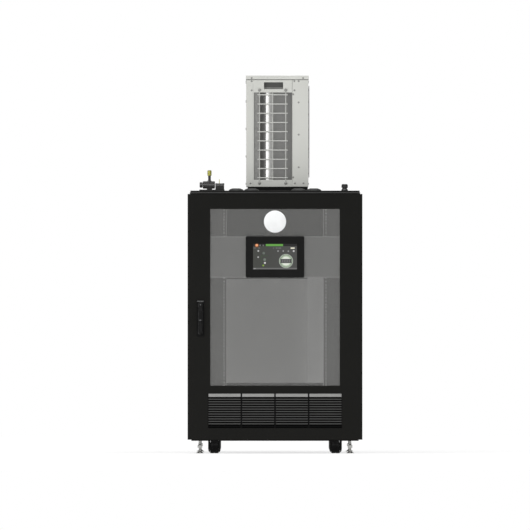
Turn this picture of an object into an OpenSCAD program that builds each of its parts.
// Air-conditioned 19-inch rack cabinet with a condensing unit on its roof.
// Units are millimetres. The origin is on the floor under the middle of the cabinet,
// the front door faces -Y and +Z is up.

/* [Cabinet] */
// Width across a door
door_w = 797; // [760:1:1000]
// Depth over the faces of the two doors
cabinet_d = 1100; // [1060:1:1400]
// Height of the roof's top face above the floor
roof_top_z = 1199; // [1100:1:2200]
// Depth of the roof panel's folded edge
roof_edge_h = 15.5; // [8:0.5:20]
// Overhang of the roof panel past the frame on each side
roof_overhang = 9.5; // [6:0.5:11]
// Height of the base frame's underside above the floor
base_bottom_z = 57.5; // [56:0.5:80]
// Height of the base frame's channel
base_h = 69.5; // [66:0.5:100]
// How far the base frame stands out past the posts on each side
base_overhang = 5; // [2:0.5:7]
// Height of the top frame's channel
top_frame_h = 50; // [40:1:80]
// Depth of the base and top channels' flanges
channel_d = 45; // [40:1:60]
// Width of a post's front flange
post_flange_w = 70; // [66:1:74]
// Distance from a door's edge to the outside of the posts
frame_inset = 22; // [20:0.5:24]
// Sheet thickness of the frame
frame_t = 2.5; // [2:0.5:3]
// Sheet thickness of the covers
cover_t = 1.5; // [1:0.25:2]
// Depth of a side panel's folded edge
side_panel_d = 7.5; // [5:0.5:8]

/* [Doors] */
// Thickness of a door
door_t = 30; // [26:0.5:36]
// Gap between a door and the frame, filled by the seal
door_gap = 10; // [10:0.5:12]
// Sheet thickness of a door
door_sheet_t = 2; // [1.5:0.25:2.5]
// Radius of a door's long front edges
door_edge_r = 5; // [3:0.5:8]
// Height of a door's lower edge above the floor
door_bottom_z = 63; // [60:0.5:80]
// Width of a door's folded lip
door_lip_w = 36; // [30:1:40]
// Width of the front door's stile beside the window
stile_w = 103; // [100:1:110]
// Height of the front door's rail above the window
top_rail_h = 68.5; // [60:0.5:100]
// Height of the window's lower edge above the door's lower edge
window_rise = 246; // [240:1:260]
// Thickness of the window glass
glass_t = 5; // [4:0.5:6]
// How far the glass laps behind the door's sheet
glass_lap = 12; // [8:0.5:12]
// Width of the stiffening channel round the inside of a door
stiffener_w = 20; // [18:0.5:20]
// Width of the door seals
seal_w = 12; // [8:0.5:14]

/* [Hinges] */
// Radius of a hinge knuckle
knuckle_r = 4.8; // [4:0.1:4.8]
// Radius of a hinge pin
hinge_pin_r = 2.5; // [2:0.1:3]
// Height of one hinge
hinge_h = 60; // [40:1:80]
// Height of the door's own knuckle
door_knuckle_h = 20; // [14:1:24]
// Distance from a door's edge to the hinge pin
hinge_inset = 5.5; // [5:0.1:6]
// Thickness of a hinge leaf
leaf_t = 2.2; // [1.5:0.1:2.5]
// Radial clearance of every running fit
running_gap = 0.05; // [0.02:0.01:0.1]

/* [Handles] */
// Distance from the window's edge to the handle's centre line
handle_inset = 44.5; // [43:0.5:47]
// Height of the handle's spindle above the door's lower edge
spindle_rise = 614; // [400:1:800]
// Width of the handle's back plate
handle_plate_w = 33; // [30:1:36]
// Length of the handle's back plate
handle_plate_h = 164; // [150:1:180]
// Thickness of the handle's back plate
handle_plate_t = 6; // [4:0.5:7]
// Width of the lever
lever_w = 24; // [20:1:26]
// Length of the lever below its pivot
lever_l = 136; // [110:1:150]
// Thickness of the lever
lever_t = 13.5; // [12:0.5:14]
// Radius of the spindle
spindle_r = 8; // [6:0.5:8]
// Radius of the lever's cross pin
cross_pin_r = 2.5; // [2:0.1:3]
// Reach of the latch cam from the spindle's axis
cam_reach = 26; // [20:1:26]

/* [Touch panel] */
// Width of the bezel
bezel_w = 267; // [240:1:300]
// Height of the bezel
bezel_h = 188; // [170:1:200]
// Height of the bezel's middle above the door's lower edge
bezel_rise = 833; // [600:1:860]
// Width of the screen
screen_w = 200; // [160:1:220]
// Height of the screen
screen_h = 116; // [100:1:130]
// Depth of the housing behind the glass
housing_d = 34; // [20:1:36]
// Height of the plate that carries the panel behind the glass
carrier_h = 187; // [180:1:220]

/* [Air grille] */
// Height of the grille above the door's lower edge
grille_rise = 55; // [50:1:60]
// Height of the grille's columns
grille_h = 155; // [140:1:160]
// Number of slats in a column
slat_count = 12; // [8:1:12]
// Distance from one slat to the next
slat_pitch = 11.2; // [10:0.1:11.3]
// Height of the bright strip above the slats
strip_h = 15; // [10:0.5:16]
// Width of the bars between the columns
mullion_w = 7; // [5:0.5:10]

/* [Rack] */
// Height of the lowest rack unit's lower edge above the floor
rack_bottom_z = 95; // [92:1:110]
// Distance between the two columns of mounting holes
hole_column_gap = 465.1; // [465.1:0.1:465.9]
// Radius of a mounting hole
rack_hole_r = 3.55; // [3.3:0.05:3.6]
// Clear width between the two rails
rack_clear_w = 444; // [442:1:446]
// Width of a rail's face
rail_face_w = 44; // [40:1:48]
// Depth of a rail's side flange
rail_side_d = 50; // [40:1:60]
// Distance of the rails' faces from the cabinet's middle, front and back
rail_face_y = 440; // [400:1:445]
// Width of the vertical cable duct
duct_w = 72; // [50:1:80]
// Depth of the vertical cable duct
duct_d = 40; // [30:1:45]
// Distance from the rails' top down to the cable duct's top
duct_top_gap = 220; // [20:1:300]
// Height of the blanking plate between the rear rails
rear_plate_h = 478; // [200:1:800]

/* [Castors and feet] */
// Radius of a castor wheel
wheel_r = 25.5; // [22:0.5:27]
// Width of a castor wheel
wheel_w = 40; // [30:1:42]
// Thickness of a fork's leg
fork_leg_t = 8; // [5:0.5:8]
// Distance from the swivel axis to the wheel's axle
castor_trail = 18; // [12:1:22]
// Distance from the cabinet's middle plane to a castor, across
castor_x = 276.6; // [240:0.1:290]
// Distance from a castor's swivel axis to the frame's end
castor_end_gap = 78; // [74:1:110]
// Radius of a castor's kingpin
kingpin_r = 6; // [5:0.5:7]
// Radius of a levelling foot's rod
foot_rod_r = 6; // [5:0.5:7]
// Radius of a levelling foot's pad
foot_pad_r = 17.5; // [14:0.5:19]
// Distance from a foot to the outside of the posts
foot_inset = 34; // [26:0.5:36]
// Distance from a foot to the frame's end
foot_end_gap = 28; // [24:1:34]
// Radius of the holes that bolt the base to a floor or plinth
anchor_hole_r = 6.5; // [5:0.5:8]

/* [Cooler in the cabinet] */
// Rack units taken by the cooler
cooler_units = 4; // [4:1:5]
// Depth of the cooler
cooler_d = 600; // [450:1:700]
// Radius of the blower's wheel
blower_r = 70; // [50:1:90]
// Height of the blower's wheel
blower_h = 90; // [60:1:100]
// Radius of the blower's shaft
blower_shaft_r = 8; // [6:0.5:10]

/* [Condensing unit] */
// Left side of the unit
unit_x0 = -133; // [-160:1:-120]
// Width of the unit
unit_w = 287; // [280:1:320]
// Length of the unit
unit_l = 780; // [760:1:840]
// Height of the unit's casing
unit_h = 508; // [500:1:600]
// Height of the rails that it stands on
unit_rail_h = 18; // [15:1:40]
// Depth of the top cover's edge
unit_lip_h = 18; // [12:1:24]
// Distance from the unit's middle to the panel that parts fan and compressor
partition_y = 180; // [170:1:200]
// Radius of the fan's air ring
fan_ring_r = 208; // [180:1:215]
// Radial gap between the fan's blades and the air ring
fan_tip_gap = 8; // [5:0.5:15]
// Radius of the fan motor's shaft
fan_shaft_r = 6; // [4:0.5:8]
// Number of fan blades
blade_count = 3; // [3:1:5]
// Outer radius of the coil's bend
coil_bend_r = 66; // [60:1:80]
// Thickness of the coil
coil_t = 30; // [20:1:40]
// Diameter of the coil guard's wires
wire_d = 5; // [3:0.5:6]
// Distance between the coil guard's cross wires
wire_pitch = 42.1; // [30:0.1:60]
// Outer radius of the wider insulated pipe's copper
pipe_r = 8; // [6:0.5:10]

/* [Roof fittings] */
// Radius of the hole under a cable grommet
grommet_hole_r = 24; // [18:0.5:26]
// Height of a grommet's dome
grommet_h = 10.5; // [8:0.5:18]
// Distance from the fittings' row to the roof's front edge
fitting_row = 64; // [50:1:70]
// Radius of the cable hole in the gland
gland_bore_r = 6; // [4:0.5:8]

/* [Hidden] */
$fn = 48;
tiny = 0.5;                 // how far a cut runs past a face

// Cabinet
door_half_w = door_w / 2;
frame_half_w = door_half_w - frame_inset;
base_half_w = frame_half_w + base_overhang;
roof_half_w = frame_half_w + roof_overhang;
door_face_y = -cabinet_d / 2;
door_back_y = door_face_y + door_t;
frame_y = door_back_y + door_gap;           // front plane of the frame
frame_half_d = -frame_y;
roof_half_d = frame_half_d + 4;
base_top_z = base_bottom_z + base_h;
frame_top_z = roof_top_z - roof_edge_h;
top_frame_z = frame_top_z - top_frame_h;
channel_in_x = frame_half_w - channel_d;
channel_in_y = frame_half_d - channel_d;
post_side_d = channel_d;
post_return_d = 20;
side_panel_end_gap = 2;

// Doors
door_top_z = frame_top_z;
window_half_w = door_half_w - stile_w;
window_z0 = door_bottom_z + window_rise;
window_z1 = door_top_z - top_rail_h;
glass_gap = 2.5;                            // glass edge to the stiffening channel
glass_half_w = window_half_w + glass_lap;
glass_z0 = window_z0 - glass_lap;
glass_z1 = window_z1 + glass_lap;
glass_seal_t = 2;
glass_y = door_face_y + door_sheet_t + glass_seal_t;
ring_in_x = glass_half_w + glass_gap;
ring_out_x = ring_in_x + stiffener_w;
ring_in_z1 = glass_z1 + glass_gap;
ring_out_z1 = ring_in_z1 + stiffener_w + 6;
ring_in_z0 = door_bottom_z + grille_rise - 6;
ring_out_z0 = ring_in_z0 - stiffener_w - 4;
crossbar_h = 14;
crossbar_z1 = glass_z0 - 2;
seal_gap = 0.5;                             // uncompressed seal to the closed door
seal_inset = 1;

// Hinges, in the frame of the front door
hinge_x = door_half_w - hinge_inset;
hinge_y = door_back_y + door_gap / 2;
hinge_end_gap = 120;
hinge_zs = [door_bottom_z + hinge_end_gap,
            (door_bottom_z + door_top_z) / 2,
            door_top_z - hinge_end_gap];
leaf_w = 31;
knuckle_gap = 0.5;
leaf_notch = 7;

// Handles
handle_x = -(window_half_w + handle_inset);
spindle_z = door_bottom_z + spindle_rise;
plate_face_y = door_face_y - handle_plate_t;
lever_gap = 1.5;
lever_back_y = plate_face_y - lever_gap;
lever_face_y = lever_back_y - lever_t;
pivot_r = 5.5;
pivot_y = lever_back_y - pivot_r;
lever_head_up = 9;
lever_sweep_r = norm([lever_w / 2, pivot_r]);   // what the head sweeps as the latch turns
tongue_half_w = 4;
slot_side_gap = 0.3;
hood_h = 6.5;
hood_gap = 0.3;
plate_top_gap = lever_sweep_r + hood_gap + hood_h;
cam_t = 3;
cam_y = door_back_y + 1.5;

// Touch panel and grille
bezel_z = door_bottom_z + bezel_rise;
bezel_proud = 2.5;
bezel_r = 7;
bezel_y = door_face_y - bezel_proud;
housing_margin = 15.5;
housing_w = bezel_w - 2 * housing_margin;
housing_h = bezel_h - 2 * housing_margin;
cutout_gap = 1.5;
screen_t = 1;
screen_rise = 2;
grille_z0 = door_bottom_z + grille_rise;
grille_z1 = grille_z0 + grille_h;
grille_half_w = glass_half_w - 4.2;
grille_hole_gap = 2.5;
column_w = (2 * grille_half_w - 3 * mullion_w) / 4;
column_xs = [for (i = [0 : 3]) -grille_half_w + i * (column_w + mullion_w)];
slat_nose_h = 4.6;
slat_d = 12;
slat_drop = 7;
grille_back_y = door_face_y + slat_d + 1.5;
top_slat_z = grille_z1 - strip_h - 13;
filter_t = 8;

// Rack
unit_u = 44.45;                             // one rack unit
u_first = 6.35;                             // hole rows inside one unit
u_step = 15.875;
rack_units = floor((top_frame_z + top_frame_h - 20 - rack_bottom_z) / unit_u);
rail_end = 6;
rail_z0 = rack_bottom_z - rail_end;
rail_z1 = rack_bottom_z + rack_units * unit_u + rail_end;
rail_x = rack_clear_w / 2;
rail_t = 2;
support_h = 40;
support_web_x = frame_half_w - post_flange_w;
support_t = 2;
support_zs = [base_top_z + 20, (base_top_z + top_frame_z - support_h) / 2, top_frame_z - support_h - 14];
duct_t = 2;
duct_z0 = rack_bottom_z + (cooler_units + 1) * unit_u;
duct_z1 = rail_z1 - duct_top_gap;

// Castors and feet
castor_y = frame_half_d - castor_end_gap;
fork_w = wheel_w + 2 * fork_leg_t + 1.6;
fork_top_gap = 11;
crown_z0 = 2 * wheel_r + fork_top_gap;
crown_t = 4;
kingpin_gap = 2;
castor_plate_t = 4;
castor_plate_half = 38;
castor_plate_z = crown_z0 + crown_t + kingpin_gap;
gusset_z = castor_plate_z + castor_plate_t;
gusset_t = 4;
gusset_hole_r = 13;
castor_sweep_r = 54;                        // clear of the swivelling fork
foot_x = frame_half_w - foot_inset;
foot_y = frame_half_d - foot_end_gap;
foot_pad_h = 5;
foot_nut_z0 = 25;
foot_nut_h = 13;
foot_rod_top = base_bottom_z + 36;
anchor_x = frame_half_w - channel_d / 2;
anchor_y = 300;

// Cooler
cooler_z0 = rack_bottom_z + 1;
cooler_h = cooler_units * unit_u - 2;
cooler_half_w = rack_clear_w / 2 - 2;
cooler_y0 = -rail_face_y;
cooler_ear_w = 241.3;
cooler_ear_t = 2;
cooler_border = 14;
cooler_coil_d = 40;
blower_y = cooler_y0 + 430;
blower_z0 = cooler_z0 + (cooler_h - blower_h) / 2;
pedestal_r = 22;
outlet_half = blower_r;

// Condensing unit
unit_x1 = unit_x0 + unit_w;
unit_y0 = -unit_l / 2;
unit_y1 = unit_l / 2;
unit_z0 = roof_top_z + unit_rail_h;
unit_z1 = unit_z0 + unit_h;
case_x0 = unit_x0 + cover_t;
case_x1 = unit_x1 - cover_t;
panel_top_z = unit_z1 - cover_t;
lip_z = unit_z1 - unit_lip_h;
seam_x = unit_x0 + 212;
seam_gap = 0.8;
post_seam_x = unit_x0 + 33;
window_x0 = unit_x0 + 37;
window_x1 = unit_x0 + 210.5;
coil_window_z0 = unit_z0 + 31;
coil_window_z1 = unit_z1 - 77.5;
grip_x0 = unit_x0 + 83;
grip_x1 = unit_x0 + 170;
grip_z0 = unit_z1 - 62.5;
grip_z1 = unit_z1 - 31;
grip_d = 27;
pan_h = 22;
fan_y = (unit_y0 + partition_y) / 2;
fan_drop = 1;                               // fan's centre below the casing's middle
fan_z = unit_z0 + unit_h / 2 - fan_drop;
fan_ring_d = 31;
coil_x = unit_x0 + 47;                      // outer face of the coil's long leg
coil_y = unit_y0 + 29;                      // outer face of the coil's short leg
coil_end_x = unit_x0 + 243;
coil_top_z = unit_z1 - 21;
coil_foot_z = unit_z0 + cover_t;
motor_x0 = case_x1 - 140;
motor_r = 45;
motor_l = 60;
bracket_t = 6;
hub_r = 38;
hub_x0 = motor_x0 + motor_l + 22;
hub_l = 36;
blade_r = fan_ring_r - fan_tip_gap;
blade_t = 3;
blade_w = 120;
blade_pitch = 24;
guard_ring_step = 24.5;
guard_wire = 3;
guard_r = fan_ring_r + 2;
guard_rings = floor((guard_r - hub_r) / guard_ring_step);
guard_spokes = 8;
guard_wire_xs = [unit_x0 + 62, unit_x0 + 122, unit_x0 + 182];
guard_screw_zs = [unit_z0 + 16, unit_z1 - 67];
guard_rows = floor((coil_window_z1 - coil_window_z0 - 18) / wire_pitch) + 1;
guard_row_z0 = coil_window_z0 + 9.5;
wire_r = wire_d / 2;
compressor_r = 60;
compressor_h = 250;
compressor_x = (unit_x0 + unit_x1) / 2;
compressor_y = (partition_y + unit_y1) / 2;
valve_xs = [unit_x1 - 95, unit_x1 - 40];
valve_zs = [unit_z0 + 60, unit_z0 + 105];
valve_reach = 24;
valve_body_r = 14;
valve_neck_r = 10;
pipe_hole_gap = 8;
pipe_rs = [pipe_r, pipe_r - 3];
screw_r = 4.5;
screw_h = 2.6;

// Roof fittings
fitting_y = -(roof_half_d - fitting_row);
grommet_xs = [-177, -107, 107, 177];
grommet_flange = 10.5;
gland_x = roof_half_w - 68;
valve_x = -(roof_half_w - 87);
valve_z = roof_top_z + 26;

// ---- Helpers ----

// Block given by two opposite corners
module box(lo, hi) {
    translate(lo) cube(hi - lo);
}

// Round bars along each axis
module bar_x(x0, x1, y, z, r) {
    translate([x0, y, z]) rotate([0, 90, 0]) cylinder(r = r, h = x1 - x0);
}
module bar_y(y0, y1, x, z, r) {
    translate([x, y0, z]) rotate([-90, 0, 0]) cylinder(r = r, h = y1 - y0);
}
module bar_z(z0, z1, x, y, r) {
    translate([x, y, z0]) cylinder(r = r, h = z1 - z0);
}

// Rectangle with round corners, about its centre
module round_rect(w, h, r) {
    square([w - 2 * r, h], center = true);
    square([w, h - 2 * r], center = true);
    for (sx = [-1, 1], sy = [-1, 1])
        translate([sx * (w / 2 - r), sy * (h / 2 - r)]) circle(r = r);
}

// A flat outline stood up in the XZ plane, from y0 to y1
module plate_xz(y0, y1) {
    translate([0, y1, 0]) rotate([90, 0, 0]) linear_extrude(y1 - y0) children();
}

// A flat outline stood up in the YZ plane, from x0 to x1
module plate_yz(x0, x1) {
    translate([x0, 0, 0]) rotate([90, 0, 90]) linear_extrude(x1 - x0) children();
}

// The same thing on the left and the right, or at the front and the back
module left_and_right() {
    children();
    mirror([1, 0, 0]) children();
}
module front_and_back() {
    children();
    mirror([0, 1, 0]) children();
}

// The rear door's things are the front door's, turned half a turn
module at_rear() {
    rotate([0, 0, 180]) children();
}

// ---- Frame of the cabinet ----

// Ring of C-channel that opens inwards
module channel_ring(half_w, z0, z1) {
    difference() {
        box([-half_w, -frame_half_d, z0], [half_w, frame_half_d, z1]);
        box([-channel_in_x, -channel_in_y, z0 - tiny], [channel_in_x, channel_in_y, z1 + tiny]);
        box([-half_w + frame_t, -frame_half_d + frame_t, z0 + frame_t],
            [half_w - frame_t, frame_half_d - frame_t, z1 - frame_t]);
    }
}

module base_frame() color("#1c1c1b") {
    difference() {
        union() {
            channel_ring(base_half_w, base_bottom_z, base_top_z);
            left_and_right() front_and_back()
                box([castor_x - castor_plate_half, -frame_half_d + frame_t, gusset_z],
                    [base_half_w - frame_t, -castor_y + castor_plate_half, gusset_z + gusset_t]);
        }
        left_and_right() front_and_back() {
            bar_z(base_bottom_z - tiny, gusset_z + gusset_t + tiny, foot_x, -foot_y,
                  foot_rod_r + running_gap);
            bar_z(gusset_z - tiny, gusset_z + gusset_t + tiny, castor_x, -castor_y, gusset_hole_r);
            bar_z(base_bottom_z - tiny, base_bottom_z + frame_t + tiny, anchor_x, -anchor_y,
                  anchor_hole_r);
            // Lower flange relieved round the swivelling castor
            bar_z(base_bottom_z - tiny, base_bottom_z + frame_t + tiny, castor_x, -castor_y,
                  castor_sweep_r);
        }
    }
}

module post_outline() {
    square([post_flange_w, frame_t]);
    translate([post_flange_w - frame_t, 0]) square([frame_t, post_side_d]);
    square([frame_t, post_return_d]);
}

module corner_posts() color("#1c1c1b")
    left_and_right() front_and_back()
        translate([frame_half_w - post_flange_w, -frame_half_d, base_top_z])
            linear_extrude(top_frame_z - base_top_z) post_outline();

module top_frame() color("#1c1c1b")
    channel_ring(frame_half_w, top_frame_z, frame_top_z);

module roof_panel() color("#1c1c1b")
    difference() {
        box([-roof_half_w, -roof_half_d, frame_top_z], [roof_half_w, roof_half_d, roof_top_z]);
        difference() {
            box([-roof_half_w + cover_t, -roof_half_d + cover_t, frame_top_z - tiny],
                [roof_half_w - cover_t, roof_half_d - cover_t, roof_top_z - cover_t]);
            // Pads that bear on the top frame
            left_and_right()
                box([channel_in_x + 5, -channel_in_y, frame_top_z - tiny],
                    [channel_in_x + 25, channel_in_y, roof_top_z]);
        }
        for (x = grommet_xs)
            bar_z(frame_top_z - tiny, roof_top_z + tiny, x, fitting_y, grommet_hole_r);
        bar_z(frame_top_z - tiny, roof_top_z + tiny, gland_x, fitting_y, gland_bore_r + 4);
        bar_z(frame_top_z - tiny, roof_top_z + tiny, valve_x, fitting_y, 5);
        for (i = [0, 1])
            bar_z(frame_top_z - tiny, roof_top_z + tiny, valve_xs[i], unit_y1 + valve_reach,
                  pipe_rs[i] + pipe_hole_gap);
    }

module side_panels() color("#232322")
    left_and_right()
        difference() {
            box([frame_half_w, -frame_half_d + side_panel_end_gap, base_top_z + 1],
                [frame_half_w + side_panel_d, frame_half_d - side_panel_end_gap, frame_top_z - 1]);
            box([frame_half_w - tiny, -frame_half_d + side_panel_end_gap + cover_t,
                 base_top_z + 1 + cover_t],
                [frame_half_w + side_panel_d - cover_t,
                 frame_half_d - side_panel_end_gap - cover_t, frame_top_z - 1 - cover_t]);
        }

// ---- Rack ----

module rack_rail() {
    difference() {
        union() {
            box([rail_x, -rail_face_y, rail_z0], [rail_x + rail_face_w, -rail_face_y + rail_t, rail_z1]);
            box([rail_x + rail_face_w - rail_t, -rail_face_y, rail_z0],
                [rail_x + rail_face_w, -rail_face_y + rail_side_d, rail_z1]);
        }
        for (u = [0 : rack_units - 1], k = [0 : 2])
            bar_y(-rail_face_y - tiny, -rail_face_y + rail_t + tiny, hole_column_gap / 2,
                  rack_bottom_z + u * unit_u + u_first + k * u_step, rack_hole_r);
    }
}

module rack_rails() color("#2a2a29")
    left_and_right() front_and_back() rack_rail();

module rail_supports() color("#2a2a29")
    for (z = support_zs)
        left_and_right() {
            box([support_web_x - support_t, -frame_half_d + frame_t, z],
                [support_web_x, frame_half_d - frame_t, z + support_h]);
            front_and_back() {
                box([rail_x + rail_face_w, -rail_face_y + 10, z],
                    [support_web_x - support_t, -rail_face_y + 10 + support_t, z + support_h]);
                box([rail_x + rail_face_w, -rail_face_y + 10, z],
                    [rail_x + rail_face_w + support_t, -rail_face_y + rail_side_d, z + support_h]);
            }
        }

module cable_duct() color("#5a5a58")
    difference() {
        box([rail_x - duct_w, rail_face_y - rail_t - duct_d, duct_z0],
            [rail_x, rail_face_y - rail_t, duct_z1]);
        box([rail_x - duct_w + duct_t, rail_face_y - rail_t - duct_d + duct_t, duct_z0 - tiny],
            [rail_x - duct_t, rail_face_y - rail_t - duct_t, duct_z1 + tiny]);
    }

// Blanking plate from the left rear rail to the duct
module rear_plate() color("#8c8c8a")
    box([-rail_x, rail_face_y - rail_t - 1, duct_z0],
        [rail_x - duct_w, rail_face_y - 1, duct_z0 + rear_plate_h]);

// ---- Seals and hinges ----

module seal_ring() {
    x = ring_in_x + seal_inset;
    z0 = ring_in_z0 - seal_inset;
    z1 = ring_in_z1 + seal_inset;
    difference() {
        box([-x - seal_w, door_back_y + seal_gap, z0 - seal_w], [x + seal_w, frame_y, z1 + seal_w]);
        box([-x, door_back_y, z0], [x, frame_y + tiny, z1]);
    }
}

module door_seals() color("#111111") {
    seal_ring();
    at_rear() seal_ring();
}

module cabinet_hinge(z) {
    difference() {
        union() {
            box([hinge_x - leaf_w, frame_y - leaf_t, z - hinge_h / 2],
                [hinge_x, frame_y, z + hinge_h / 2]);
            bar_z(z - hinge_h / 2, z + hinge_h / 2, hinge_x, hinge_y, knuckle_r);
        }
        box([hinge_x - leaf_notch, hinge_y - knuckle_r - tiny, z - door_knuckle_h / 2 - knuckle_gap],
            [hinge_x + knuckle_r + tiny, frame_y + tiny, z + door_knuckle_h / 2 + knuckle_gap]);
    }
    bar_z(z - hinge_h / 2, z + hinge_h / 2, hinge_x, hinge_y, hinge_pin_r);
}

module cabinet_hinges() color("#6d6d6b") {
    for (z = hinge_zs) cabinet_hinge(z);
    at_rear() for (z = hinge_zs) cabinet_hinge(z);
}

module door_hinge_leaf(z) {
    difference() {
        union() {
            box([hinge_x - leaf_w, door_back_y, z - hinge_h / 2],
                [hinge_x - leaf_notch, door_back_y + leaf_t, z + hinge_h / 2]);
            box([hinge_x - leaf_notch - tiny, door_back_y, z - door_knuckle_h / 2],
                [hinge_x, door_back_y + leaf_t, z + door_knuckle_h / 2]);
            bar_z(z - door_knuckle_h / 2, z + door_knuckle_h / 2, hinge_x, hinge_y, knuckle_r);
        }
        bar_z(z - hinge_h, z + hinge_h, hinge_x, hinge_y, hinge_pin_r + running_gap);
    }
}

// ---- Doors ----

// Plan of a door: square at the back, round at the two front edges
module door_plan() {
    translate([-door_half_w, door_face_y + door_edge_r])
        square([door_w, door_t - door_edge_r]);
    translate([-door_half_w + door_edge_r, door_face_y])
        square([door_w - 2 * door_edge_r, door_edge_r + tiny]);
    for (s = [-1, 1])
        translate([s * (door_half_w - door_edge_r), door_face_y + door_edge_r])
            circle(r = door_edge_r);
}

// Folded sheet with its edges and return lips
module door_tray() {
    difference() {
        translate([0, 0, door_bottom_z]) linear_extrude(door_top_z - door_bottom_z) door_plan();
        box([-door_half_w + door_sheet_t, door_face_y + door_sheet_t, door_bottom_z + door_sheet_t],
            [door_half_w - door_sheet_t, door_back_y - door_sheet_t, door_top_z - door_sheet_t]);
        box([-door_half_w + door_lip_w, door_back_y - 2 * door_sheet_t, door_bottom_z + stiffener_w],
            [door_half_w - door_lip_w, door_back_y + tiny, door_top_z - stiffener_w]);
    }
}

// Channel welded round the inside, which the seal bears on
module door_ring() {
    front_y = door_face_y + door_sheet_t - 0.1;
    difference() {
        box([-ring_out_x, front_y, ring_out_z0], [ring_out_x, door_back_y, ring_out_z1]);
        box([-ring_in_x, front_y - tiny, ring_in_z0], [ring_in_x, door_back_y + tiny, ring_in_z1]);
        difference() {
            box([-ring_out_x + door_sheet_t, front_y - tiny, ring_out_z0 + door_sheet_t],
                [ring_out_x - door_sheet_t, door_back_y - door_sheet_t, ring_out_z1 - door_sheet_t]);
            box([-ring_in_x - door_sheet_t, front_y - 2 * tiny, ring_in_z0 - door_sheet_t],
                [ring_in_x + door_sheet_t, door_back_y, ring_in_z1 + door_sheet_t]);
        }
    }
}

module spindle_hole() {
    bar_y(door_face_y - handle_plate_t - tiny, door_back_y + tiny, handle_x, spindle_z,
          spindle_r + running_gap);
}

module front_door_frame() color("#1f1f1d")
    difference() {
        union() {
            door_tray();
            door_ring();
            // Bar between the window and the grille
            box([-ring_in_x - tiny, door_face_y + door_sheet_t - 0.1, crossbar_z1 - crossbar_h],
                [ring_in_x + tiny, door_back_y - door_sheet_t, crossbar_z1]);
            for (z = hinge_zs) door_hinge_leaf(z);
        }
        box([-window_half_w, door_face_y - tiny, window_z0],
            [window_half_w, door_face_y + door_sheet_t + tiny, window_z1]);
        box([-grille_half_w - grille_hole_gap, door_face_y - tiny, grille_z0 - grille_hole_gap],
            [grille_half_w + grille_hole_gap, door_face_y + door_sheet_t + tiny,
             grille_z1 + grille_hole_gap]);
        // The crossbar is a channel, open to the inside of the cabinet
        box([-ring_in_x + 2, door_face_y + 2 * door_sheet_t, crossbar_z1 - crossbar_h + door_sheet_t],
            [ring_in_x - 2, door_back_y + tiny, crossbar_z1 - door_sheet_t]);
        spindle_hole();
    }

module rear_door_panel() color("#2a2a29")
    at_rear()
        difference() {
            union() {
                door_tray();
                door_ring();
                for (z = hinge_zs) door_hinge_leaf(z);
                // Three stiffening bars across the inside
                for (k = [1 : 3])
                    box([-ring_in_x - tiny, door_face_y + door_sheet_t - 0.1, rear_bar_z(k) - 20],
                        [ring_in_x + tiny, door_face_y + 18, rear_bar_z(k) + 20]);
            }
            for (k = [1 : 3])
                box([-ring_in_x + 2, door_face_y + 2 * door_sheet_t, rear_bar_z(k) - 18],
                    [ring_in_x - 2, door_face_y + 20, rear_bar_z(k) + 18]);
            spindle_hole();
        }
function rear_bar_z(k) = ring_in_z0 + k * (ring_in_z1 - ring_in_z0) / 4;

// ---- Glass and touch panel ----

module door_glass() color("#80807e", 0.5)
    difference() {
        box([-glass_half_w, glass_y, glass_z0], [glass_half_w, glass_y + glass_t, glass_z1]);
        box([-housing_w / 2 - cutout_gap, glass_y - tiny, bezel_z - housing_h / 2 - cutout_gap],
            [housing_w / 2 + cutout_gap, glass_y + glass_t + tiny, bezel_z + housing_h / 2 + cutout_gap]);
    }

module glass_seal() color("#0c0c0c")
    difference() {
        box([-glass_half_w, door_face_y + door_sheet_t, glass_z0], [glass_half_w, glass_y, glass_z1]);
        box([-window_half_w, door_face_y, window_z0], [window_half_w, glass_y + tiny, window_z1]);
    }

module panel_carrier() color("#757573")
    difference() {
        box([-ring_in_x, glass_y + glass_t + 2, bezel_z - carrier_h / 2],
            [ring_in_x, glass_y + glass_t + 4, bezel_z + carrier_h / 2]);
        box([-housing_w / 2 - cutout_gap, glass_y + glass_t, bezel_z - housing_h / 2 - cutout_gap],
            [housing_w / 2 + cutout_gap, glass_y + glass_t + 5, bezel_z + housing_h / 2 + cutout_gap]);
    }

module touch_panel() color("#1d1d1c")
    difference() {
        union() {
            translate([0, 0, bezel_z]) plate_xz(bezel_y, glass_y) round_rect(bezel_w, bezel_h, bezel_r);
            box([-housing_w / 2, glass_y - tiny, bezel_z - housing_h / 2],
                [housing_w / 2, glass_y + housing_d, bezel_z + housing_h / 2]);
        }
        box([-screen_w / 2, bezel_y - tiny, bezel_z + screen_rise - screen_h / 2],
            [screen_w / 2, bezel_y + screen_t, bezel_z + screen_rise + screen_h / 2]);
    }

module touch_screen() color("#4a4a48")
    box([-screen_w / 2, bezel_y + 0.3, bezel_z + screen_rise - screen_h / 2],
        [screen_w / 2, bezel_y + screen_t, bezel_z + screen_rise + screen_h / 2]);

// ---- Grille ----

module slat(x0, x1, z) {
    y0 = door_face_y + 0.8;
    plate_yz(x0 - tiny, x1 + tiny)
        polygon([[y0, z], [y0, z + slat_nose_h], [y0 + 2, z + slat_nose_h],
                 [y0 + slat_d, z + slat_nose_h - slat_drop], [y0 + slat_d, z - slat_drop + 2.4],
                 [y0 + 2, z]]);
}

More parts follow.
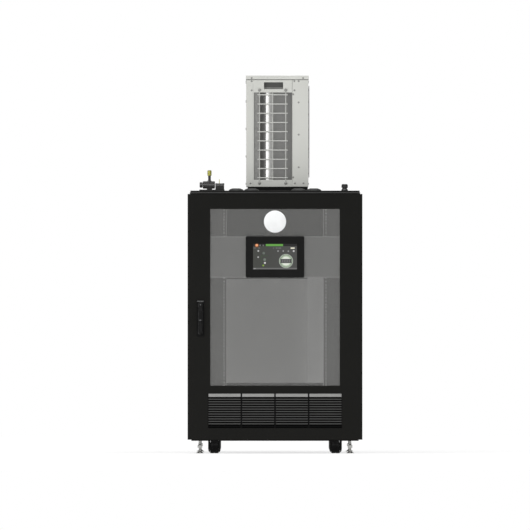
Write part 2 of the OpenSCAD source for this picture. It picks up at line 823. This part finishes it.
module louvre_grille() color("#3d3d3c") {
    hole_half_w = grille_half_w + grille_hole_gap;
    flange = 3;
    difference() {
        union() {
            box([-hole_half_w, door_face_y + 0.4, grille_z0 - grille_hole_gap],
                [hole_half_w, grille_back_y, grille_z1 + grille_hole_gap]);
            box([-hole_half_w - flange, door_face_y + door_sheet_t, grille_z0 - grille_hole_gap - flange],
                [hole_half_w + flange, door_face_y + 2 * door_sheet_t,
                 grille_z1 + grille_hole_gap + flange]);
        }
        for (x = column_xs) {
            box([x, door_face_y - tiny, grille_z0], [x + column_w, 0, grille_z1 - strip_h]);
            box([x, door_face_y - tiny, grille_z1 - strip_h - tiny], [x + column_w, door_face_y + 2, grille_z1]);
        }
    }
    for (x = column_xs, i = [0 : slat_count - 1])
        slat(x, x + column_w, top_slat_z - i * slat_pitch);
}

module grille_strips() color("#9c9c9a")
    for (x = column_xs)
        box([x + 0.3, door_face_y + 0.6, grille_z1 - strip_h + 0.3],
            [x + column_w - 0.3, door_face_y + 2, grille_z1 - 0.3]);

module filter_mat() color("#0e0e0e")
    box([-grille_half_w, grille_back_y, grille_z0], [grille_half_w, grille_back_y + filter_t, grille_z1]);

// ---- Handles ----

module handle_plate() {
    z1 = spindle_z + plate_top_gap;
    difference() {
        union() {
            translate([handle_x, 0, z1 - handle_plate_h / 2])
                plate_xz(plate_face_y, door_face_y) round_rect(handle_plate_w, handle_plate_h, 6);
            // Hood over the lever's head
            box([handle_x - handle_plate_w / 2 + 3, lever_face_y + 5, z1 - hood_h],
                [handle_x + handle_plate_w / 2 - 3, plate_face_y + tiny, z1]);
        }
        spindle_hole();
    }
}

module latch() {
    bar_y(plate_face_y - lever_gap / 3, cam_y + cam_t, handle_x, spindle_z, spindle_r);
    // Latch cam
    plate_xz(cam_y, cam_y + cam_t) {
        translate([handle_x - cam_reach, spindle_z - 7]) square([cam_reach, 14]);
        translate([handle_x - cam_reach, spindle_z]) circle(r = 7);
        translate([handle_x, spindle_z]) circle(r = 12);
    }
    // Tongue that the lever tilts on
    intersection() {
        box([handle_x - tongue_half_w, pivot_y - pivot_r, spindle_z - pivot_r],
            [handle_x + tongue_half_w, plate_face_y, spindle_z + pivot_r]);
        union() {
            bar_x(handle_x - 20, handle_x + 20, pivot_y, spindle_z, pivot_r);
            box([handle_x - 20, pivot_y, spindle_z - pivot_r],
                [handle_x + 20, plate_face_y, spindle_z + pivot_r]);
        }
    }
    bar_x(handle_x - lever_w / 2 + 1, handle_x + lever_w / 2 - 1, pivot_y, spindle_z, cross_pin_r);
}

module lever() {
    grip_w = 18;
    grip_h = 66;
    difference() {
        union() {
            plate_xz(lever_face_y, lever_back_y) {
                translate([handle_x - lever_w / 2, spindle_z - lever_l + 8])
                    square([lever_w, lever_l - 8]);
                translate([handle_x, spindle_z - lever_l + lever_w / 2]) circle(r = lever_w / 2);
            }
            // Head, rounded to turn under the hood
            intersection() {
                box([handle_x - lever_w / 2, lever_face_y, spindle_z - tiny],
                    [handle_x + lever_w / 2, pivot_y, spindle_z + lever_head_up]);
                bar_y(lever_face_y - tiny, pivot_y + tiny, handle_x, spindle_z, lever_sweep_r);
            }
            bar_x(handle_x - lever_w / 2, handle_x + lever_w / 2, pivot_y, spindle_z, pivot_r);
            // Raised grip and the lock's face
            translate([handle_x, 0, spindle_z - lever_l + 2 + grip_h / 2])
                plate_xz(lever_face_y - 2, lever_face_y + tiny) round_rect(grip_w, grip_h, 8.5);
            bar_y(lever_face_y - 1.5, lever_face_y + tiny, handle_x, spindle_z, 6);
        }
        // Slot round the tongue
        box([handle_x - tongue_half_w - slot_side_gap, pivot_y - pivot_r - 0.5, spindle_z - 9],
            [handle_x + tongue_half_w + slot_side_gap, lever_back_y + tiny, spindle_z + 12]);
        bar_x(handle_x - lever_w / 2 - tiny, handle_x + lever_w / 2 + tiny, pivot_y, spindle_z,
              cross_pin_r + running_gap);
        // Finger hollow behind the grip
        box([handle_x - lever_w / 2 + 3, lever_face_y + 4, spindle_z - lever_l + 12],
            [handle_x + lever_w / 2 - 3, lever_back_y + tiny, spindle_z - lever_l + 80]);
    }
}

module front_handle_plate() color("#171716") handle_plate();
module front_latch() color("#8a8a88") latch();
module front_lever() color("#171716") lever();
module rear_handle_plate() color("#171716") at_rear() handle_plate();
module rear_latch() color("#8a8a88") at_rear() latch();
module rear_lever() color("#171716") at_rear() lever();

// ---- Castors and feet ----

module castor_plates() color("#8f8f8d")
    left_and_right() front_and_back()
        difference() {
            box([castor_x - castor_plate_half, -castor_y - castor_plate_half, castor_plate_z],
                [castor_x + castor_plate_half, -castor_y + castor_plate_half, gusset_z]);
            bar_z(castor_plate_z - tiny, gusset_z + tiny, castor_x, -castor_y, kingpin_r + running_gap);
        }

// sx and sy pick the corner: -1 or 1
module castor_fork(sx, sy) {
    wheel_y = sy * castor_y + castor_trail;
    x = sx * castor_x;
    leg_outline_r = 14;
    color("#1b1b1a") {
        difference() {
            union() {
                for (s = [-1, 1]) {
                    x0 = s > 0 ? x + fork_w / 2 - fork_leg_t : x - fork_w / 2;
                    bar_x(x0, x0 + fork_leg_t, wheel_y, wheel_r, leg_outline_r);
                    box([x0, wheel_y - leg_outline_r, wheel_r],
                        [x0 + fork_leg_t, wheel_y + leg_outline_r, crown_z0 + tiny]);
                }
                box([x - fork_w / 2, wheel_y - castor_trail - 16, crown_z0],
                    [x + fork_w / 2, wheel_y + leg_outline_r, crown_z0 + crown_t]);
                bar_z(crown_z0, castor_plate_z - 0.5, x, sy * castor_y, 14);
            }
            bar_x(x - fork_w, x + fork_w, wheel_y, wheel_r, 4 - tiny);
        }
        bar_z(crown_z0, gusset_z + 1, x, sy * castor_y, kingpin_r);
        bar_z(gusset_z + 0.5, gusset_z + 5, x, sy * castor_y, kingpin_r + 4);
        bar_x(x - fork_w / 2, x + fork_w / 2, wheel_y, wheel_r, 4);
    }
}

module castor_wheel(sx, sy) {
    wheel_y = sy * castor_y + castor_trail;
    x = sx * castor_x;
    shoulder = 4;
    color("#141414")
        translate([x, wheel_y, wheel_r]) rotate([0, 90, 0])
            difference() {
                rotate_extrude()
                    polygon([[0, -wheel_w / 2], [wheel_r - shoulder, -wheel_w / 2],
                             [wheel_r, -wheel_w / 2 + shoulder], [wheel_r, wheel_w / 2 - shoulder],
                             [wheel_r - shoulder, wheel_w / 2], [0, wheel_w / 2]]);
                cylinder(r = 4 + running_gap, h = wheel_w + 2, center = true);
            }
}

module levelling_foot(sx, sy)
    color("#b9b9b7") {
        translate([sx * foot_x, sy * foot_y, 0]) {
            rotate_extrude()
                polygon([[0, 0], [foot_pad_r, 0], [foot_pad_r, 2], [foot_pad_r - 4, foot_pad_h],
                         [foot_rod_r + 3, foot_pad_h + 1], [foot_rod_r + 1, 11], [0, 11]]);
            cylinder(r = foot_rod_r, h = foot_rod_top);
            translate([0, 0, foot_nut_z0]) cylinder(r = 11, h = foot_nut_h, $fn = 6);
        }
    }

module castor_fork_fl() castor_fork(-1, -1);
module castor_fork_fr() castor_fork(1, -1);
module castor_fork_rl() castor_fork(-1, 1);
module castor_fork_rr() castor_fork(1, 1);
module castor_wheel_fl() castor_wheel(-1, -1);
module castor_wheel_fr() castor_wheel(1, -1);
module castor_wheel_rl() castor_wheel(-1, 1);
module castor_wheel_rr() castor_wheel(1, 1);
module foot_fl() levelling_foot(-1, -1);
module foot_fr() levelling_foot(1, -1);
module foot_rl() levelling_foot(-1, 1);
module foot_rr() levelling_foot(1, 1);

// ---- Cooler in the lowest rack units ----

module evaporator_case() color("#3a3a39")
    difference() {
        union() {
            difference() {
                union() {
                    box([-cooler_half_w, cooler_y0, cooler_z0],
                        [cooler_half_w, cooler_y0 + cooler_d, cooler_z0 + cooler_h]);
                    box([-cooler_ear_w, cooler_y0 - cooler_ear_t, cooler_z0],
                        [cooler_ear_w, cooler_y0, cooler_z0 + cooler_h]);
                }
                box([-cooler_half_w + cover_t, cooler_y0 + cover_t, cooler_z0 + cover_t],
                    [cooler_half_w - cover_t, cooler_y0 + cooler_d - cover_t,
                     cooler_z0 + cooler_h - cover_t]);
                // Inlet at the front, outlet in the top
                box([-cooler_half_w + cooler_border, cooler_y0 - cooler_ear_t - tiny,
                     cooler_z0 + cooler_border],
                    [cooler_half_w - cooler_border, cooler_y0 + cover_t + tiny,
                     cooler_z0 + cooler_h - cooler_border]);
                box([-outlet_half, blower_y - outlet_half, cooler_z0 + cooler_h - 2 * cover_t],
                    [outlet_half, blower_y + outlet_half, cooler_z0 + cooler_h + tiny]);
                left_and_right()
                    for (u = [0, cooler_units - 1])
                        bar_y(cooler_y0 - cooler_ear_t - tiny, cooler_y0 + tiny, hole_column_gap / 2,
                              rack_bottom_z + u * unit_u + u_first + u_step, rack_hole_r);
            }
            // Blower motor under the wheel
            bar_z(cooler_z0 + cover_t - 0.1, blower_z0 - 2, 0, blower_y, pedestal_r);
        }
        bar_z(cooler_z0 + 8, blower_z0, 0, blower_y, blower_shaft_r + running_gap);
    }

module evaporator_coil() color("#b4b6b8")
    box([-cooler_half_w + cover_t + 1, cooler_y0 + 12, cooler_z0 + cover_t],
        [cooler_half_w - cover_t - 1, cooler_y0 + 12 + cooler_coil_d, cooler_z0 + cooler_h - cover_t]);

module evaporator_blower() color("#262625") {
    vane_count = 24;
    vane_d = 14;
    plate_t = 3;
    translate([0, blower_y, blower_z0]) {
        cylinder(r = blower_r, h = plate_t);
        translate([0, 0, blower_h - plate_t])
            difference() {
                cylinder(r = blower_r, h = plate_t);
                translate([0, 0, -tiny]) cylinder(r = blower_r - vane_d, h = plate_t + 2 * tiny);
            }
        for (i = [0 : vane_count - 1])
            rotate([0, 0, i * 360 / vane_count])
                translate([blower_r - vane_d, -0.8, plate_t - 0.1])
                    cube([vane_d - 1, 1.6, blower_h - 2 * plate_t + 0.2]);
        cylinder(r = 16, h = 30);
    }
    bar_z(cooler_z0 + 10, blower_z0 + 1, 0, blower_y, blower_shaft_r);
}

// ---- Condensing unit ----

module unit_rails() color("#141414")
    for (s = [-1, 1])
        difference() {
            box([unit_x0 + 8, s * 300 - 25, roof_top_z], [unit_x1 - 4, s * 300 + 25, unit_z0]);
            box([unit_x0 + 8 - tiny, s * 300 - 22, roof_top_z - tiny],
                [unit_x1 - 4 + tiny, s * 300 + 22, unit_z0 - 3]);
        }

// Pan, with the partition between the fan and the compressor welded to it
module unit_base_pan() color("#bfc0bb") {
    difference() {
        box([case_x0 + cover_t, unit_y0 + cover_t, unit_z0],
            [case_x1 - cover_t, unit_y1 - cover_t, unit_z0 + pan_h]);
        box([case_x0 + 2 * cover_t, unit_y0 + 2 * cover_t, unit_z0 + cover_t],
            [case_x1 - 2 * cover_t, unit_y1 - 2 * cover_t, unit_z0 + pan_h + tiny]);
    }
    box([coil_x + coil_t + 2, partition_y, unit_z0 + cover_t / 2],
        [case_x1 - 2 * cover_t, partition_y + cover_t, panel_top_z]);
}

module unit_end_panel() color("#cccdc8") {
    corner_d = 45;
    recess_y = unit_y0 + 9;
    difference() {
        union() {
            box([case_x0, unit_y0, unit_z0], [seam_x - seam_gap / 2, unit_y0 + cover_t, panel_top_z]);
            box([case_x0, unit_y0, unit_z0], [case_x0 + cover_t, unit_y0 + corner_d, panel_top_z]);
            // Pocket behind the hand grip
            box([grip_x0 - cover_t, unit_y0, grip_z0 - cover_t],
                [grip_x1 + cover_t, unit_y0 + grip_d, grip_z1 + cover_t]);
        }
        box([window_x0, unit_y0 - tiny, coil_window_z0],
            [window_x1, unit_y0 + cover_t + tiny, coil_window_z1]);
        box([grip_x0, unit_y0 - tiny, grip_z0], [grip_x1, unit_y0 + grip_d - cover_t, grip_z1]);
        // Fold line that marks the corner post
        box([post_seam_x - 0.4, unit_y0 - tiny, unit_z0 - tiny],
            [post_seam_x + 0.4, unit_y0 + 0.6, panel_top_z + tiny]);
    }
    // Inner flange of the corner post, seen through the window
    box([case_x0 + cover_t - 0.1, recess_y, unit_z0 + pan_h],
        [unit_x0 + 62, recess_y + cover_t, coil_top_z]);
}

module unit_fan_panel() color("#cccdc8")
    difference() {
        union() {
            box([case_x1 - cover_t, unit_y0, unit_z0],
                [case_x1, partition_y - seam_gap / 2, panel_top_z]);
            box([seam_x + seam_gap / 2, unit_y0, unit_z0], [case_x1, unit_y0 + cover_t, panel_top_z]);
            // Air ring round the fan
            bar_x(case_x1 - fan_ring_d, case_x1 - cover_t / 2, fan_y, fan_z, fan_ring_r + 2);
        }
        bar_x(case_x1 - fan_ring_d - tiny, case_x1 + tiny, fan_y, fan_z, fan_ring_r);
    }

module unit_service_panel() color("#cccdc8")
    difference() {
        box([case_x0, partition_y + seam_gap / 2, unit_z0], [case_x1, unit_y1, panel_top_z]);
        box([case_x0 + cover_t, partition_y, unit_z0 - tiny],
            [case_x1 - cover_t, unit_y1 - cover_t, panel_top_z + tiny]);
        for (i = [0, 1])
            bar_y(unit_y1 - 2 * cover_t, unit_y1 + tiny, valve_xs[i], valve_zs[i], valve_neck_r + 1);
    }

module unit_top_cover() color("#d4d5d0")
    difference() {
        box([unit_x0, unit_y0 - cover_t, lip_z], [unit_x1, unit_y1 + cover_t, unit_z1]);
        box([case_x0, unit_y0, lip_z - tiny], [case_x1, unit_y1, panel_top_z]);
    }

// L-shaped finned coil with a round bend
module condenser_coil() color("#a9abab") {
    bend_x = coil_x + coil_bend_r;
    bend_y = coil_y + coil_bend_r;
    box([coil_x, bend_y, coil_foot_z], [coil_x + coil_t, partition_y - 5, coil_top_z]);
    box([bend_x, coil_y, coil_foot_z], [coil_end_x, coil_y + coil_t, coil_top_z]);
    intersection() {
        difference() {
            bar_z(coil_foot_z, coil_top_z, bend_x, bend_y, coil_bend_r);
            bar_z(coil_foot_z - tiny, coil_top_z + tiny, bend_x, bend_y, coil_bend_r - coil_t);
        }
        box([coil_x, coil_y, coil_foot_z], [bend_x, bend_y, coil_top_z]);
    }
}

module compressor() color("#1a1a1a") {
    z0 = unit_z0 + cover_t + 14;
    difference() {
        union() {
            translate([compressor_x, compressor_y, z0])
                rotate_extrude()
                    polygon([[0, 0], [compressor_r - 18, 0], [compressor_r, 20],
                             [compressor_r, compressor_h - 24], [compressor_r - 20, compressor_h],
                             [0, compressor_h]]);
            for (a = [30 : 120 : 270])
                translate([compressor_x, compressor_y, unit_z0 + cover_t])
                    rotate([0, 0, a]) translate([compressor_r - 8, 0, 0]) cylinder(r = 11, h = 18);
        }
        translate([compressor_x, compressor_y, z0 + 5])
            cylinder(r = compressor_r - 22, h = compressor_h - 30);
    }
}

module fan_motor() color("#2b2b2b") {
    bar_x(motor_x0, motor_x0 + motor_l, fan_y, fan_z, motor_r);
    bar_x(motor_x0 + motor_l - 1, hub_x0 + hub_l - 2, fan_y, fan_z, fan_shaft_r);
    // Bracket from the base pan to the top cover
    for (s = [-1, 1])
        box([motor_x0 - bracket_t, fan_y + s * 30 - 10, unit_z0 + cover_t],
            [motor_x0 + 0.2, fan_y + s * 30 + 10, panel_top_z]);
}

module condenser_fan() color("#3b3b3b")
    difference() {
        union() {
            bar_x(hub_x0, hub_x0 + hub_l, fan_y, fan_z, hub_r);
            intersection() {
                bar_x(hub_x0, hub_x0 + hub_l, fan_y, fan_z, blade_r);
                for (i = [0 : blade_count - 1])
                    translate([hub_x0 + hub_l / 2, fan_y, fan_z])
                        rotate([i * 360 / blade_count, 0, 0])
                            rotate([0, 0, blade_pitch])
                                translate([-blade_t / 2, -blade_w / 2, hub_r - 10])
                                    cube([blade_t, blade_w, blade_r]);
            }
        }
        bar_x(hub_x0 - tiny, hub_x0 + hub_l + tiny, fan_y, fan_z, fan_shaft_r + running_gap);
    }

module fan_guard() color("#d0d1cc") {
    difference() {
        bar_x(case_x1, unit_x1 + guard_wire, fan_y, fan_z, guard_r);
        bar_x(case_x1 - tiny, unit_x1 + guard_wire + tiny, fan_y, fan_z, guard_r - 3);
    }
    for (k = [1 : guard_rings])
        difference() {
            bar_x(unit_x1, unit_x1 + guard_wire, fan_y, fan_z, guard_r - k * guard_ring_step);
            bar_x(unit_x1 - tiny, unit_x1 + guard_wire + tiny, fan_y, fan_z,
                  guard_r - k * guard_ring_step - guard_wire);
        }
    for (i = [0 : guard_spokes - 1])
        translate([unit_x1 + guard_wire, fan_y, fan_z])
            rotate([(i + 0.5) * 360 / guard_spokes, 0, 0])
                translate([-guard_wire, -2, 30]) cube([guard_wire, 4, guard_r - 31]);
}

module coil_guards() color("#d6d7d2") {
    bar_face_y = unit_y0 - wire_r;
    cross_y = bar_face_y - wire_d + 1;
    // Guard over the short side's window
    for (i = [0, 2])
        bar_z(guard_screw_zs[0], guard_screw_zs[1], guard_wire_xs[i], bar_face_y, wire_r);
    bar_z(coil_window_z0, coil_window_z1, guard_wire_xs[1], bar_face_y, wire_r);
    for (i = [0 : guard_rows - 1])
        bar_x(guard_wire_xs[0] - 9, guard_wire_xs[2] + 9, cross_y,
              guard_row_z0 + i * wire_pitch, wire_r);
    // Guard over the long side, set inside the casing's face
    back_x = case_x0 + cover_t + wire_r;
    for (i = [0 : 8])
        bar_z(unit_z0 + pan_h, panel_top_z, back_x, unit_y0 + 60 + i * 62, wire_r);
    for (i = [0 : guard_rows - 1])
        bar_y(unit_y0 + 50, partition_y - 2, back_x + wire_d - 1,
              guard_row_z0 + i * wire_pitch, wire_r);
}

// Screw heads: on the short end, in rows along both long sides, and the guard's four
module unit_screws() color("#c4c5c0") {
    end_heads = [[26, unit_h - 26], [221, unit_h - 26], [241, unit_h - 26],
                 [26, unit_h - 68], [222, unit_h - 68], [216, unit_h - 86], [216, 43],
                 [21, 16], [224, 16], [263, 16],
                 [241, 385], [241, 238], [241, 89]];
    for (p = end_heads)
        bar_y(unit_y0 - screw_h, unit_y0, unit_x0 + p[0], unit_z0 + p[1], screw_r);
    for (x = [26, 261])
        bar_y(unit_y0 - cover_t - screw_h, unit_y0 - cover_t, unit_x0 + x, unit_z1 - 12, screw_r);
    for (i = [0, 2], z = guard_screw_zs)
        bar_y(unit_y0 - wire_d - 4, unit_y0 - wire_d, guard_wire_xs[i], z, 7);
    for (z = [14, 140, 266, 392, 480])
        for (y = [unit_y0 + 12, partition_y + 14, unit_y1 - 14]) {
            bar_x(case_x0 - screw_h, case_x0, y, unit_z0 + z, screw_r);
            bar_x(case_x1, case_x1 + screw_h, y, unit_z0 + z, screw_r);
        }
}

// Service valves and the copper lines that run down through the roof
module refrigerant_lines() color("#b87f4a")
    for (i = [0, 1]) {
        y = unit_y1 + valve_reach;
        bar_y(unit_y1 - 30, unit_y1 + valve_reach + 10, valve_xs[i], valve_zs[i], valve_neck_r);
        bar_y(unit_y1, unit_y1 + 4, valve_xs[i], valve_zs[i], valve_body_r + 2);
        bar_z(valve_zs[i] - 14, valve_zs[i] + 16, valve_xs[i], y, valve_body_r - 2);
        bar_z(frame_top_z - 60, valve_zs[i], valve_xs[i], y, pipe_rs[i]);
    }

// ---- Roof fittings ----

module roof_grommets() color("#2c2c2b")
    for (x = grommet_xs)
        translate([x, fitting_y, roof_top_z]) {
            r = grommet_hole_r + grommet_flange;
            rotate_extrude()
                polygon([[0, 0], [r, 0], [r, 2], [r - 7, grommet_h - 3.5], [r - 17, grommet_h],
                         [0, grommet_h]]);
            translate([0, 0, -cover_t - 6]) cylinder(r = grommet_hole_r - 0.2, h = cover_t + 6.5);
        }

module roof_fittings() color("#161616") {
    // Service valve's body: two ribbed nuts on a level axis, with an upright stem
    box([valve_x - 46, fitting_y - 25, roof_top_z], [valve_x + 69, fitting_y + 25, roof_top_z + 5]);
    translate([valve_x - 45, fitting_y, valve_z]) rotate([0, 90, 0]) cylinder(r = 13, h = 22, $fn = 12);
    translate([valve_x - 31, fitting_y, valve_z]) rotate([0, 90, 0]) cylinder(r = 17.5, h = 56, $fn = 12);
    box([valve_x - 12, fitting_y - 10, roof_top_z + 4], [valve_x + 12, fitting_y + 10, valve_z]);
    bar_z(valve_z, roof_top_z + 68, valve_x, fitting_y, 6.25);
    bar_z(frame_top_z - 20, roof_top_z + 4, valve_x, fitting_y, 4.8);
    // Small junction box with its tab
    box([valve_x + 27, fitting_y - 20, roof_top_z + 4], [valve_x + 67, fitting_y + 20, roof_top_z + 33]);
    bar_z(roof_top_z + 32, roof_top_z + 52, valve_x + 45, fitting_y, 1.6);
    // Cable gland on the other side
    difference() {
        union() {
            translate([gland_x, fitting_y, roof_top_z])
                rotate_extrude()
                    polygon([[0, 0], [15, 0], [15, 4], [11, 8], [11, 14], [0, 14]]);
            translate([gland_x, fitting_y, roof_top_z + 13]) cylinder(r = 15, h = 17, $fn = 12);
            bar_z(frame_top_z - 8, roof_top_z + 1, gland_x, fitting_y, gland_bore_r + 3.8);
        }
        bar_z(frame_top_z - 10, roof_top_z + 31, gland_x, fitting_y, gland_bore_r);
    }
}

module service_valve_cap() color("#a8a436")
    bar_z(roof_top_z + 68, roof_top_z + 93, valve_x, fitting_y, 9.5);

base_frame();
corner_posts();
top_frame();
roof_panel();
side_panels();
rack_rails();
rail_supports();
door_seals();
cabinet_hinges();
castor_plates();
cable_duct();
rear_plate();
evaporator_case();
evaporator_coil();
evaporator_blower();
roof_grommets();
roof_fittings();
service_valve_cap();
unit_rails();
unit_base_pan();
unit_end_panel();
unit_fan_panel();
unit_service_panel();
unit_top_cover();
condenser_coil();
compressor();
fan_motor();
condenser_fan();
fan_guard();
coil_guards();
unit_screws();
refrigerant_lines();
front_door_frame();
door_glass();
glass_seal();
panel_carrier();
touch_panel();
touch_screen();
louvre_grille();
grille_strips();
filter_mat();
front_handle_plate();
front_latch();
front_lever();
rear_door_panel();
rear_handle_plate();
rear_latch();
rear_lever();
castor_fork_fl();
castor_fork_fr();
castor_fork_rl();
castor_fork_rr();
castor_wheel_fl();
castor_wheel_fr();
castor_wheel_rl();
castor_wheel_rr();
foot_fl();
foot_fr();
foot_rl();
foot_rr();
